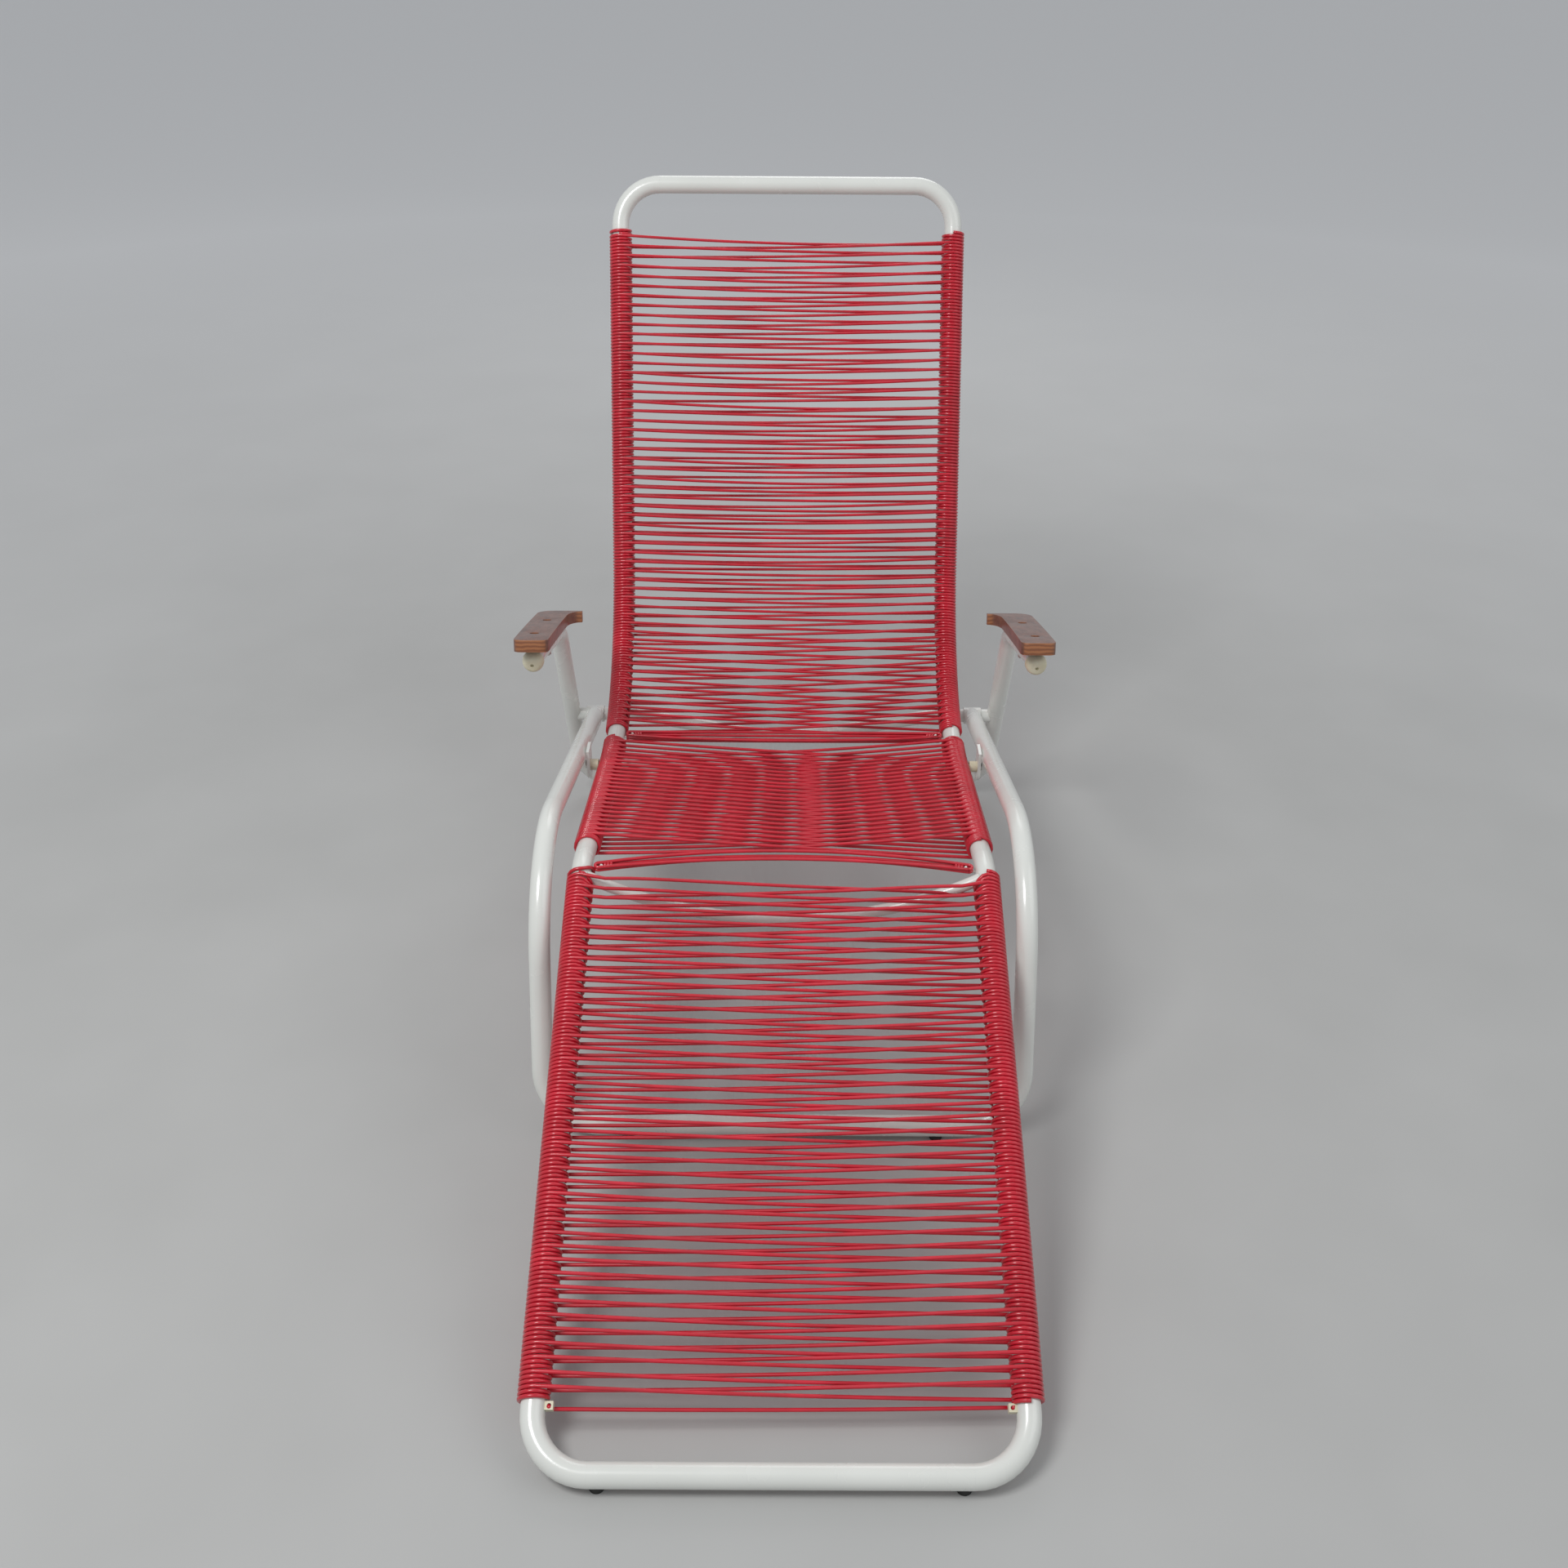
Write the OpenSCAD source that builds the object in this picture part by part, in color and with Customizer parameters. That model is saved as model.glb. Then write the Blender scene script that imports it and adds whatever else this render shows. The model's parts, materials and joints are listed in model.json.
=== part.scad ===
// Folding deck chair.
// A cord-wound lounge frame of bent steel tube hangs on two bolts inside the front leg frame. The
// rear leg frame is hinged to it on a bowed crossbar, and its upper ends carry the wooden armrests.
// The foot end points to -Y, the head end to +Y and the floor is Z = 0. The origin is on the
// floor, midway between the foot bar and the top bar.

/* [Lounge frame] */
// Outer diameter of the lounge tube
lounge_d = 27; // [25:0.5:27]
// Distance from the middle plane to the centre of each rail
rail_x = 265; // [258:1:270]
// Length of the leg rest, from the foot bar to the front bend
leg_len = 740; // [700:5:780]
// Rise of the leg rest in degrees
leg_rise = 23; // [21:0.5:25]
// Length of the seat, from the front bend to the rear bend
seat_len = 606; // [590:1:620]
// Fall of the seat toward the rear in degrees
seat_fall = 10.7; // [9.5:0.1:11.5]
// Length of the backrest, from the rear bend to the top bar
back_len = 843; // [780:1:880]
// Angle of the backrest from the floor in degrees
back_rise = 66.2; // [64:0.1:68]
// Height of the foot bar's centre
foot_bar_z = 20.4; // [19:0.1:22]
// Bend radius of the four end corners
end_corner_r = 63; // [50:1:75]
// Bend radius between leg rest and seat
front_bend_r = 100; // [80:1:120]
// Bend radius between seat and backrest
rear_bend_r = 300; // [290:1:305]

/* [Cord] */
// Diameter of the cord
cord_d = 4.6; // [3:0.1:5]
// Thickness of the plain sheet that stands for the crossing cords
cord_sheet_t = 2; // [1:0.5:6]
// Bare tube below the top bar's centre
top_bare = 70; // [66:1:100]
// Bare tube behind the foot bar's centre
foot_bare = 73; // [68:1:100]
// Wound tube on the seat side of the pivot bolt, measured toward the backrest
seat_wrap_past_pivot = 72; // [60:1:80]
// Bare gap between seat winding and backrest winding
rear_gap = 30; // [20:1:40]
// Bare tube from the front bend's corner to the seat winding
front_gap_seat = 62; // [40:1:80]
// Bare arc from the middle of the front bend to the leg winding
front_gap_leg = 10; // [5:1:20]

/* [Bow bar] */
// Outer diameter of the bow bar
bow_d = 16; // [14:0.5:18]
// Sag of the bow bar under the front of the leg rest
bow_sag = 66; // [50:1:80]
// Arc length from the middle of the front bend to the bow bar
bow_at = 16; // [15:0.5:18]

/* [Leg frames] */
// Outer diameter of the leg tubes
base_d = 28; // [27:0.5:28]
// Height of the floor bars' centres
base_bar_z = 20; // [19:0.5:22]
// Distance from the middle plane to the front leg frame's side tubes
front_x = 313.5; // [313.5:0.5:314]
// Distance from the middle plane to the rear posts
rear_x = 352.6; // [350:0.2:356]
// Distance from the foot bar to the front floor bar
front_bar_at = 505; // [490:1:520]
// Length of the front legs, from the floor bar to the bend
front_leg_len = 378; // [374:1:382]
// Lean of the front legs from vertical in degrees
front_leg_lean = 21; // [20:0.5:22]
// Length of the side tubes, from the front bend to the crossbar
side_len = 655; // [650:1:658]
// Fall of the side tubes toward the rear in degrees
side_fall = 15.5; // [15.3:0.1:15.7]
// Bend radius between front leg and side tube
front_knee_r = 165; // [140:1:180]
// Bend radius of the floor corners
floor_corner_r = 75; // [60:1:85]
// Outer diameter of the crossbar that the leg frames fold on
crossbar_d = 22; // [20:0.5:22]
// Distance from the middle plane at which the crossbar starts to dip
crossbar_dip_x = 252; // [240:1:270]
// Dip of the crossbar's middle corner, before it is rounded
crossbar_dip = 49; // [30:1:52]
// Bend radius of the crossbar's middle
crossbar_dip_r = 480; // [400:10:520]
// Lean of the rear posts from vertical in degrees
post_lean = 22.2; // [21:0.1:24]
// Length of the post above the crossbar
post_above = 215; // [210:1:225]
// Bend radius between post and arm tube
arm_bend_r = 60; // [50:1:70]
// Rise of the arm tube toward the front in degrees
arm_rise = 18; // [16:0.5:20]
// Length of the arm tube, from the post's bend to the nose bend
arm_len = 236; // [235:1:240]
// Downward turn of the arm tube's nose in degrees
nose_turn = 23; // [18:1:26]
// Bend radius of the nose
nose_bend_r = 50; // [45:1:60]

/* [Armrests] */
// Length of the wood
armrest_len = 274; // [265:1:280]
// Width of the wood
armrest_w = 48; // [40:1:52]
// Thickness of the wood
armrest_t = 17; // [14:0.5:20]
// Distance of the wood's rear end from the arm tube's bend, along the tube
armrest_rear = 16.4; // [10:0.2:20]
// Inward reach of the hooked rear end
armrest_hook = 18; // [10:1:20]
// Inward bend of the front end
armrest_toe = 4.3; // [0:0.1:6]
// Distance of the rear screw from the arm tube's bend, along the tube
rear_screw_at = 110; // [95:1:130]
// Distance of the front screw from the arm tube's bend, along the tube
front_screw_at = 230; // [215:1:231]

/* [Pivot and fasteners] */
// Diameter of the pivot bolts
pivot_d = 8; // [6:0.5:8]
// Thickness of the hanger plates
plate_t = 4.5; // [3:0.5:5]
// Diameter of the armrest screws
screw_d = 5; // [4:0.5:5]
// Diametral clearance of every turning fit
fit_gap = 0.1; // [0.06:0.01:0.16]

/* [Hidden] */

$fn = 64;
wall = 1.5;            // wall of every steel tube
seat_clear = 0.02;     // gap left where one welded or glued part sits on another
wrap_clear = 0.2;      // gap between the tube and the cord wound on it
full_cut = 200;        // longer than any part that a cutting tool passes through
joint_gap = 0.02;      // gap between the straight and bent runs of a tube, bridged inside the wall
joint_half = 1;        // half the length of the bridging ring
joint_inset = 0.4;     // depth of the bridging ring below the tube's surfaces
cord_gap = 0.05;       // gap between the straight and bent stretches of a cord solid

steel_white = [0.86, 0.87, 0.84];
cord_red = [0.78, 0.13, 0.20];
varnished_wood = [0.47, 0.27, 0.18];
cream_plastic = [0.90, 0.88, 0.76];
black_rubber = [0.08, 0.08, 0.08];
zinc = [0.72, 0.72, 0.70];

// ---- Side plane: points are [y, z] ----

function heading(angle) = [cos(angle), sin(angle)];
function at_x(p, x) = [x, p[0], p[1]];

span = leg_len * cos(leg_rise) + seat_len * cos(seat_fall) + back_len * cos(back_rise);
foot = [-span / 2, foot_bar_z];
front_corner = foot + leg_len * heading(leg_rise);
rear_corner = front_corner + seat_len * heading(-seat_fall);
top = rear_corner + back_len * heading(back_rise);

rear_setback = rear_bend_r * tan((seat_fall + back_rise) / 2);
front_setback = front_bend_r * tan((seat_fall + leg_rise) / 2);
pivot = rear_corner - rear_setback * heading(-seat_fall);
rear_centre = pivot + rear_bend_r * heading(90 - seat_fall);
front_centre = front_corner - front_setback * heading(leg_rise) + front_bend_r * heading(leg_rise - 90);

front_bar = [foot[0] + front_bar_at, base_bar_z];
front_knee = front_bar + front_leg_len * heading(90 - front_leg_lean);
crossbar = front_knee + side_len * heading(-side_fall);
post_dir = heading(90 + post_lean);
rear_bar = crossbar - (crossbar[1] - base_bar_z) / post_dir[1] * post_dir;
arm_corner = crossbar + post_above * post_dir;
arm_dir = heading(180 - arm_rise);
nose_corner = arm_corner + arm_len * arm_dir;
nose_dir = heading(180 - arm_rise + nose_turn);
nose_stub = 1;
nose_end = nose_corner + (nose_bend_r * tan(nose_turn / 2) + nose_stub) * nose_dir;

wrap_r = lounge_d / 2 + wrap_clear + cord_d;
plate_face_x = front_x - base_d / 2;
sleeve_out_x = plate_face_x - plate_t;
sleeve_in_x = rail_x + wrap_r + wrap_clear;
washer_x = rail_x - wrap_r - wrap_clear;
washer_t = 1.5;
pivot_bore_d = pivot_d + fit_gap;

// ---- Bent tubes ----

function unit(v) = v / norm(v);
function turn_at(path, i) =
    let (n = len(path))
    acos(unit(path[i] - path[(i + n - 1) % n]) * unit(path[(i + 1) % n] - path[i]));
function setback(path, radii, i) = radii[i] == 0 ? 0 : radii[i] * tan(turn_at(path, i) / 2);

module ring(d, wall_t) {
    difference() {
        circle(d = d);
        if (wall_t > 0) circle(d = d - 2 * wall_t);
    }
}

module straight_tube(a, b, d, wall_t) {
    run = b - a;
    translate(a)
        rotate([0, acos(run.z / norm(run)), atan2(run.y, run.x)])
            linear_extrude(norm(run)) ring(d, wall_t);
}

// Rounds the corner between travel directions u and v with a bend of centreline radius r.
module tube_bend(corner, u, v, r, d, wall_t) {
    turn = acos(u * v);
    inward = unit(v - (u * v) * u);
    centre = corner - r * tan(turn / 2) * u + r * inward;
    axis = cross(-inward, u);
    multmatrix([[-inward.x, u.x, axis.x, centre.x],
                [-inward.y, u.y, axis.y, centre.y],
                [-inward.z, u.z, axis.z, centre.z]])
        rotate_extrude(angle = turn) translate([r, 0]) ring(d, wall_t);
}

// Joins two runs of a tube inside the wall, at point p in travel direction u.
module joint_ring(p, u, d, wall_t) {
    straight_tube(p - joint_half * u, p + joint_half * u, d - 2 * joint_inset,
                  max(0, wall_t - 2 * joint_inset));
}

// A tube along the points of path, with bend radius radii[i] at point i; an open end has radius 0.
// Each straight run stops joint_gap short of its bends, and rings inside the wall make one solid.
module bent_tube(path, radii, d, wall_t, closed = false) {
    n = len(path);
    for (i = [0 : closed ? n - 1 : n - 2]) {
        j = (i + 1) % n;
        u = unit(path[j] - path[i]);
        a = path[i] + setback(path, radii, i) * u;
        b = path[j] - setback(path, radii, j) * u;
        straight_tube(a + (radii[i] > 0 ? joint_gap : 0) * u, b - (radii[j] > 0 ? joint_gap : 0) * u,
                      d, wall_t);
        if (radii[i] > 0) joint_ring(a, u, d, wall_t);
        if (radii[j] > 0) joint_ring(b, u, d, wall_t);
    }
    for (i = [0 : n - 1])
        if (radii[i] > 0)
            tube_bend(path[i], unit(path[i] - path[(i + n - 1) % n]),
                      unit(path[(i + 1) % n] - path[i]), radii[i], d, wall_t);
}

function mirrored(points) = concat([for (p = points) at_x(p[0], -p[1])],
                                   [for (i = [len(points) - 1 : -1 : 0]) at_x(points[i][0], points[i][1])]);
function both_ways(values) = concat(values, [for (i = [len(values) - 1 : -1 : 0]) values[i]]);

module both_sides() {
    children();
    mirror([1, 0, 0]) children();
}

// A rod or hole along X between the distances x0 and x1 from the middle plane.
module cross_rod(p, x0, x1, d) {
    translate(at_x(p, x0)) rotate([0, 90, 0]) cylinder(d = d, h = x1 - x0);
}

// ---- Lounge frame ----

module lounge_frame() {
    points = mirrored([[foot, rail_x], [front_corner, rail_x], [rear_corner, rail_x], [top, rail_x]]);
    radii = both_ways([end_corner_r, front_bend_r, rear_bend_r, end_corner_r]);
    color(steel_white)
        difference() {
            bent_tube(points, radii, lounge_d, wall, closed = true);
            both_sides() cross_rod(pivot, rail_x - lounge_d, rail_x + lounge_d, pivot_bore_d);
        }
}

bow_angle = (leg_rise - seat_fall) / 2 + bow_at / front_bend_r * 180 / PI;
bow_point = front_centre + front_bend_r * heading(90 + bow_angle);

// A round bar through both rails' inner faces, which sags in a circular arc.
module bow(d, wall_t) {
    chord = rail_x - lounge_d / 2;
    r = (chord * chord + bow_sag * bow_sag) / (2 * bow_sag);
    reach = asin((rail_x - lounge_d / 4) / r);
    translate([0, bow_point[0], bow_point[1] - bow_sag + r])
        rotate([-90, 0, 0])
            rotate([0, 0, 90 - reach])
                rotate_extrude(angle = 2 * reach) translate([r, 0]) ring(d, wall_t);
}

module front_bow_bar() {
    color(steel_white)
        difference() {
            bow(bow_d, wall);
            both_sides()
                tube_bend(at_x(front_corner, rail_x), at_x(heading(leg_rise), 0),
                          at_x(heading(-seat_fall), 0), front_bend_r, lounge_d + 2 * seat_clear, 0);
        }
}

// ---- Cord: plain solids that hold the space of the wound and crossing cords ----

module cord_section() {
    for (side = [-1, 1])
        translate([side * rail_x, 0]) ring(2 * wrap_r, cord_d);
    square([2 * (rail_x - wrap_r + cord_d / 2), cord_sheet_t], center = true);
}

module cord_straight(p, angle, length) {
    translate(at_x(p, 0)) rotate([angle - 90, 0, 0]) linear_extrude(length) cord_section();
}

// Winding along a bend whose travel angle grows from a0 to a1; side is 1 for a bend whose centre
// is above the frame and -1 for one whose centre is below it.
module cord_bend(centre, r, side, a0, a1) {
    multmatrix([[0, 0, 1, 0],
                [side * sin(a0), side * cos(a0), 0, centre[0]],
                [-side * cos(a0), side * sin(a0), 0, centre[1]]])
        rotate_extrude(angle = a1 - a0) translate([r, 0]) rotate(90) cord_section();
}

function rear_angle(arc_len) = arc_len / rear_bend_r * 180 / PI - seat_fall;

module back_strings() {
    straight = back_len - rear_setback - top_bare - cord_gap;
    color(cord_red) {
        cord_bend(rear_centre, rear_bend_r, 1, rear_angle(seat_wrap_past_pivot + rear_gap), back_rise);
        cord_straight(top - (top_bare + straight) * heading(back_rise), back_rise, straight);
    }
}

module seat_strings() {
    straight = seat_len - rear_setback - front_gap_seat;
    color(cord_red)
        difference() {
            union() {
                cord_straight(pivot - straight * heading(-seat_fall), -seat_fall, straight - cord_gap);
                cord_bend(rear_centre, rear_bend_r, 1, -seat_fall, rear_angle(seat_wrap_past_pivot));
            }
            both_sides() {
                cross_rod(pivot, washer_x, sleeve_in_x, pivot_d + 3 * wrap_clear);
                cross_rod(pivot, bolt_end_x - nut_dome, rail_x - wrap_r, washer_d + 3);
            }
        }
}

module leg_strings() {
    straight = leg_len - front_setback - foot_bare;
    leg_bend_end = (leg_rise - seat_fall) / 2 + front_gap_leg / front_bend_r * 180 / PI;
    color(cord_red)
        difference() {
            union() {
                cord_straight(foot + foot_bare * heading(leg_rise), leg_rise, straight - cord_gap);
                cord_bend(front_centre, front_bend_r, -1, leg_bend_end, leg_rise);
            }
            bow(bow_d + 2 * wrap_clear, 0);
        }
}

// ---- Small lounge parts ----

hook_d = 4;
hook_reach = 9;
hook_rise = 8;

// A bent rod on the inner side of the rail at point p; up is the rail's upward normal there.
module hook(p, up) {
    start = rail_x - lounge_d / 2;
    path = [at_x(p, start - seat_clear), at_x(p, start - hook_reach),
            at_x(p + hook_rise * up, start - hook_reach - hook_rise / 2)];
    bent_tube(path, [0, hook_d, 0], hook_d, 0);
}

module string_hooks() {
    gap_angle = rear_angle(seat_wrap_past_pivot + rear_gap / 2);
    gap_point = rear_centre - rear_bend_r * heading(90 + gap_angle);
    mid_angle = (leg_rise - seat_fall) / 2;
    bend_point = front_centre + front_bend_r * heading(90 + mid_angle);
    color(steel_white)
        both_sides() {
            hook(bend_point, heading(90 + mid_angle));
            hook(gap_point, heading(90 + gap_angle));
        }
}

clip_size = 9;
clip_reach = 8.5;   // how far a clip stands inside the rail
clip_bite = 2;      // how far it reaches round the rail before the rail is cut out
clip_hole_d = 4.6;
clip_gap = 0.4;     // from a clip to the winding

module string_clips() {
    clip_at = foot + (foot_bare - clip_gap - clip_size / 2) * heading(leg_rise);
    color(cream_plastic)
        both_sides()
            difference() {
                translate(at_x(clip_at, rail_x - lounge_d / 2 - clip_reach)) rotate([leg_rise, 0, 0])
                    difference() {
                        translate([0, -clip_size / 2, -clip_size / 2])
                            cube([clip_reach + clip_bite, clip_size, clip_size]);
                        translate([clip_reach / 2, 0, -clip_size])
                            cylinder(d = clip_hole_d, h = 2 * clip_size);
                    }
                translate(at_x(foot, rail_x)) rotate([leg_rise - 90, 0, 0])
                    cylinder(d = lounge_d + 2 * seat_clear, h = full_cut);
            }
}

// A rubber foot that saddles the underside of a floor bar of diameter d at distance x.
module foot_pad(bar, x, d) {
    difference() {
        translate([x, bar[0], 0]) cylinder(d = foot_d, h = bar[1] - d / 2 + foot_lip);
        cross_rod(bar, x - foot_d, x + foot_d, d + 2 * seat_clear);
    }
}

foot_d = 17;
foot_lip = 4;        // height to which a foot grips the sides of its bar
base_foot_x = 203;
lounge_foot_x = 193;

module lounge_feet() {
    color(black_rubber) both_sides() foot_pad(foot, lounge_foot_x, lounge_d);
}

module front_feet() {
    color(black_rubber) both_sides() foot_pad(front_bar, base_foot_x, base_d);
}

module rear_feet() {
    color(black_rubber) both_sides() foot_pad(rear_bar, base_foot_x, base_d);
}

// ---- Front leg frame ----

sleeve_d = base_d;

module front_leg_frame() {
    points = mirrored([[crossbar, front_x], [front_knee, front_x], [front_bar, front_x]]);
    radii = both_ways([0, front_knee_r, floor_corner_r]);
    color(steel_white)
        difference() {
            bent_tube(points, radii, base_d, wall);
            both_sides() cross_rod(crossbar, front_x - base_d, front_x + base_d, sleeve_d + 2 * seat_clear);
        }
}

module fold_sleeves() {
    color(steel_white)
        both_sides()
            difference() {
                cross_rod(crossbar, front_x - base_d / 2, front_x + base_d / 2, sleeve_d);
                cross_rod(crossbar, front_x - base_d, front_x + base_d, crossbar_d + fit_gap);
            }
}

plate_w = 30;
plate_below = 7;   // centre of the rounded lower end, below the bolt
plate_top = 31;    // straight upper edge, above the bolt

module hanger_plate() {
    color(steel_white)
        difference() {
            translate(at_x(pivot, sleeve_out_x)) rotate([90, 0, 90])
                linear_extrude(plate_t) {
                    translate([0, -plate_below]) circle(d = plate_w);
                    translate([-plate_w / 2, -plate_below]) square([plate_w, plate_top + plate_below]);
                }
            cross_rod(pivot, sleeve_out_x - 1, plate_face_x + 1, pivot_bore_d);
        }
}

module hanger_plate_right() {
    hanger_plate();
}

module hanger_plate_left() {
    mirror([1, 0, 0]) hanger_plate();
}

// ---- Pivot hardware ----

bolt_head_d = 12;
bolt_head_t = 3.5;
bolt_socket_af = 5;
bolt_socket_depth = 2;
washer_d = 17;
nut_af = 13;
nut_h = 4.5;
nut_dome = 3;
bolt_end_x = washer_x - washer_t - nut_h - 0.5;

module pivot_bolts() {
    color(zinc)
        both_sides()
            difference() {
                union() {
                    cross_rod(pivot, bolt_end_x, plate_face_x + 1, pivot_d);
                    cross_rod(pivot, plate_face_x + seat_clear, plate_face_x + bolt_head_t, bolt_head_d);
                }
                translate(at_x(pivot, plate_face_x + bolt_head_t - bolt_socket_depth)) rotate([0, 90, 0])
                    cylinder(d = bolt_socket_af / cos(30), h = bolt_socket_depth + 1, $fn = 6);
            }
}

module pivot_sleeves() {
    color(cream_plastic)
        both_sides()
            difference() {
                cross_rod(pivot, sleeve_in_x, sleeve_out_x - seat_clear, washer_d);
                cross_rod(pivot, sleeve_in_x - 1, sleeve_out_x + 1, pivot_bore_d);
            }
}

module pivot_washers() {
    color(zinc)
        both_sides()
            difference() {
                cross_rod(pivot, washer_x - washer_t, washer_x, washer_d);
                cross_rod(pivot, washer_x - washer_t - 1, washer_x + 1, pivot_bore_d);
            }
}

module pivot_nuts() {
    nut_x = washer_x - washer_t - seat_clear;
    color(zinc)
        both_sides()
            difference() {
                translate(at_x(pivot, nut_x)) rotate([0, -90, 0]) {
                    cylinder(d = nut_af / cos(30), h = nut_h, $fn = 6);
                    translate([0, 0, nut_h]) cylinder(d1 = nut_af - 1, d2 = nut_af / 2, h = nut_dome);
                }
                cross_rod(pivot, bolt_end_x - 0.5, nut_x + 1, pivot_bore_d);
            }
}

// ---- Rear leg frame ----

crossbar_knee_r = 60;   // bend radius where the crossbar starts to dip

module rear_crossbar() {
    middle = crossbar - [0, crossbar_dip];
    points = [at_x(crossbar, -rear_x), at_x(crossbar, -crossbar_dip_x), at_x(middle, 0),
              at_x(crossbar, crossbar_dip_x), at_x(crossbar, rear_x)];
    color(steel_white)
        difference() {
            bent_tube(points, [0, crossbar_knee_r, crossbar_dip_r, crossbar_knee_r, 0], crossbar_d, wall);
            both_sides()
                translate(at_x(crossbar, rear_x)) rotate([post_lean, 0, 0])
                    cylinder(d = base_d + 2 * seat_clear, h = full_cut, center = true);
        }
}

// Moves its children to the arm tube: +Z is the wood's upward normal and -Y the way to the nose.
module on_arm() {
    translate(at_x(arm_corner, 0)) rotate([-arm_rise, 0, 0]) children();
}

module at_screws() {
    on_arm()
        for (at = [rear_screw_at, front_screw_at])
            translate([rear_x, -at, 0]) children();
}

module rear_leg_frame() {
    points = mirrored([[nose_end, rear_x], [nose_corner, rear_x], [arm_corner, rear_x], [rear_bar, rear_x]]);
    radii = both_ways([0, nose_bend_r, arm_bend_r, floor_corner_r]);
    color(steel_white)
        difference() {
            bent_tube(points, radii, base_d, wall);
            both_sides() at_screws() cylinder(d = screw_d + 0.2, h = 2 * base_d, center = true);
        }
}

cap_len = 15;
cap_tip_r = 6;
cap_dimple_d = 5;
cap_dimple_depth = 4;
cap_rim = 1.2;      // the cap's rim stands this much proud of the tube
spigot_len = 4;
spigot_gap = 0.3;   // the spigot is straight, and the tube round it starts to bend

module arm_end_cap() {
    steps = 10;
    spigot_r = base_d / 2 - wall - spigot_gap;
    rim_r = base_d / 2 + cap_rim;
    nose = [for (i = [0 : steps])
        [cap_tip_r + (rim_r - cap_tip_r) * pow(cos(90 * i / steps), 0.8), cap_len * sin(90 * i / steps)]];
    profile = concat([[0, -spigot_len], [spigot_r, -spigot_len], [spigot_r, 0]], nose, [[0, cap_len]]);
    color(cream_plastic)
        difference() {
            translate(at_x(nose_end + seat_clear * nose_dir, rear_x))
                rotate([90 - arm_rise + nose_turn, 0, 0]) rotate_extrude() polygon(profile);
            translate(at_x(nose_end + (cap_len - cap_dimple_depth) * nose_dir, rear_x))
                rotate([90 - arm_rise + nose_turn, 0, 0]) cylinder(d = cap_dimple_d, h = cap_len);
        }
}

module arm_end_cap_right() {
    arm_end_cap();
}

module arm_end_cap_left() {
    mirror([1, 0, 0]) arm_end_cap();
}

// ---- Armrests ----

armrest_under = base_d / 2 + 0.05;
armrest_in_x = rear_x + 1 - armrest_w / 2;
counterbore_d = 13;
counterbore_depth = 5;

function arc(centre, r, a0, a1, steps) =
    [for (i = [0 : steps]) let (a = a0 + (a1 - a0) * i / steps) centre + r * [cos(a), sin(a)]];
function edge(a, b, steps) = [for (i = [1 : steps - 1]) a + (b - a) * i / steps];

// Plan outline: +Y is the rear end, the inner edge hooks inward near it and the front end toes in.
module armrest_outline() {
    rear = -armrest_rear;
    front = rear - armrest_len;
    outer = armrest_in_x + armrest_w;
    front_r = 11;
    rear_r = 24;
    hook_len = 40;
    hook_tip = 7;
    hook_steps = 10;
    edge_steps = 8;
    inner_hook = [for (i = [hook_steps : -1 : 0]) let (a = 90 * i / hook_steps)
        [armrest_in_x - armrest_hook * (1 - cos(a)), rear - hook_tip - hook_len * (1 - sin(a))]];
    straight = concat(
        arc([armrest_in_x + front_r, front + front_r], front_r, 180, 270, 6),
        arc([outer - front_r, front + front_r], front_r, 270, 360, 6),
        edge([outer, front + front_r], [outer, rear - rear_r], edge_steps),
        arc([outer - rear_r, rear - rear_r], rear_r, 0, 90, 8),
        [[armrest_in_x - armrest_hook, rear]],
        inner_hook,
        edge([armrest_in_x, rear - hook_tip - hook_len], [armrest_in_x, front + front_r], edge_steps));
    polygon([for (p = straight) p - [armrest_toe * pow((rear - p.y) / armrest_len, 2), 0]]);
}

module armrest() {
    color(varnished_wood)
        difference() {
            on_arm() translate([0, 0, armrest_under]) linear_extrude(armrest_t) armrest_outline();
            at_screws() {
                cylinder(d = screw_d + 0.4, h = full_cut);
                translate([0, 0, armrest_under + armrest_t - counterbore_depth])
                    cylinder(d = counterbore_d, h = full_cut);
            }
        }
}

module armrest_right() {
    armrest();
}

module armrest_left() {
    mirror([1, 0, 0]) armrest();
}

screw_head_d = 10;
screw_head_t = 3;
screw_end = 22;       // the screw ends this far below the arm tube's centre
screw_slot = [6, 1.2, 1.2];
nut_drop = 2.4;       // from the arm tube's underside to its nut
small_nut_af = 8;
small_nut_h = 4;

module armrest_screws() {
    seat = armrest_under + armrest_t - counterbore_depth + seat_clear;
    color(zinc)
        both_sides() at_screws()
            difference() {
                union() {
                    translate([0, 0, -screw_end]) cylinder(d = screw_d, h = screw_end + seat + 1);
                    translate([0, 0, seat]) cylinder(d = screw_head_d, h = screw_head_t);
                }
                for (turn = [0, 90])
                    translate([0, 0, seat + screw_head_t]) rotate(turn)
                        cube([screw_slot.x, screw_slot.y, 2 * screw_slot.z], center = true);
            }
}

module armrest_nuts() {
    color(zinc)
        both_sides() at_screws()
            translate([0, 0, -base_d / 2 - nut_drop - small_nut_h])
                difference() {
                    cylinder(d = small_nut_af / cos(30), h = small_nut_h, $fn = 6);
                    translate([0, 0, -1]) cylinder(d = screw_d + fit_gap, h = small_nut_h + 2);
                }
}

front_leg_frame();
fold_sleeves();
hanger_plate_left();
hanger_plate_right();
pivot_bolts();
pivot_sleeves();
pivot_washers();
pivot_nuts();
front_feet();
lounge_frame();
front_bow_bar();
string_hooks();
string_clips();
back_strings();
seat_strings();
leg_strings();
lounge_feet();
rear_crossbar();
rear_leg_frame();
arm_end_cap_left();
arm_end_cap_right();
armrest_left();
armrest_right();
armrest_screws();
armrest_nuts();
rear_feet();
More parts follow.
